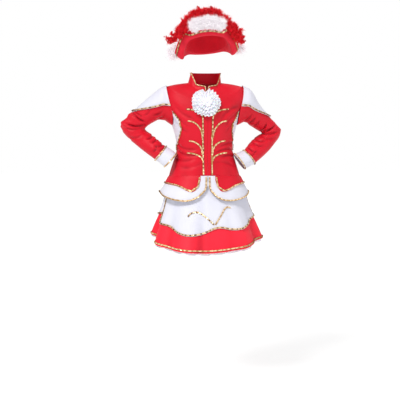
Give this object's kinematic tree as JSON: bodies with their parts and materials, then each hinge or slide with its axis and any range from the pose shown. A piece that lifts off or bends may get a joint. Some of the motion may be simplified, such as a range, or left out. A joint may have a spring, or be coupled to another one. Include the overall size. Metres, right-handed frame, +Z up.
{
  "type": "majorette costume",
  "caption": "Child's majorette costume worn hands on hips: red jacket with white panels and gold braid, jabot, flared skirt with a white overskirt, and a brimmed hat with a boa.",
  "frame": {"origin": "middle of the base of the neck, level with the wearer's shoulder line, where the shoulders hold the jacket up", "axes": "+Z up, the front of the costume faces -Y, +X towards the wearer's left"},
  "size_m": [0.6084, 0.3648, 0.9037],
  "materials": {
    "red_satin": "matt satin weave, bright red",
    "white_satin": "matt satin weave, white",
    "white_organza": "crisp sheer organza with a lace edge, white",
    "red_velvet": "short pile, deep red",
    "gold_sequin_braid": "small gold sequins on a tape, glossy",
    "white_marabou": "fluffy down, white",
    "red_marabou": "fluffy feathers, red"
  },
  "bodies": {
    "root": {"front_right": "red_satin", "front_left": "red_satin", "back": "red_satin", "side_panel_right": "white_satin", "side_panel_left": "white_satin", "placket_right": "red_satin", "placket_left": "red_satin", "seam_braid_front_right": "gold_sequin_braid", "seam_braid_back_right": "gold_sequin_braid", "seam_braid_front_left": "gold_sequin_braid", "seam_braid_back_left": "gold_sequin_braid", "front_braid_right": "gold_sequin_braid", "front_braid_left": "gold_sequin_braid", "collar": "red_satin", "collar_piping": "gold_sequin_braid", "sleeve_right": "red_satin", "sleeve_left": "red_satin", "oversleeve_right": "white_satin", "oversleeve_left": "white_satin", "sleeve_braid_right": "gold_sequin_braid", "sleeve_braid_left": "gold_sequin_braid", "cuff_right": "white_satin", "cuff_left": "white_satin", "cuff_braid_top_right": "gold_sequin_braid", "cuff_braid_end_right": "gold_sequin_braid", "cuff_braid_top_left": "gold_sequin_braid", "cuff_braid_end_left": "gold_sequin_braid", "basque_white_front_right": "white_satin", "basque_white_front_left": "white_satin", "basque_white_back": "white_satin", "basque_red_front_right": "red_satin", "basque_red_front_left": "red_satin", "basque_red_back": "red_satin", "basque_braid_white": "gold_sequin_braid", "basque_braid_red": "gold_sequin_braid", "waistband": "red_satin", "skirt_front": "red_satin", "skirt_back": "red_satin", "skirt_braid": "gold_sequin_braid", "overskirt_front": "white_satin", "overskirt_back": "white_satin", "apron_braid": "gold_sequin_braid", "overskirt_back_braid": "gold_sequin_braid", "apron_scroll_right": "gold_sequin_braid", "apron_scroll_left": "gold_sequin_braid", "frill": "white_organza", "jabot_ruffle_1": "white_organza", "jabot_ruffle_2": "white_organza", "jabot_ruffle_3": "white_organza", "jabot_ruffle_4": "white_organza", "jabot_core": "white_organza", "hat_crown": "red_velvet", "hat_brim": "red_velvet", "hat_plume": "red_marabou", "hat_fur_front": "white_marabou", "hat_fur_back": "white_marabou", "hat_braid": "gold_sequin_braid"}
  },
  "joints": []
}
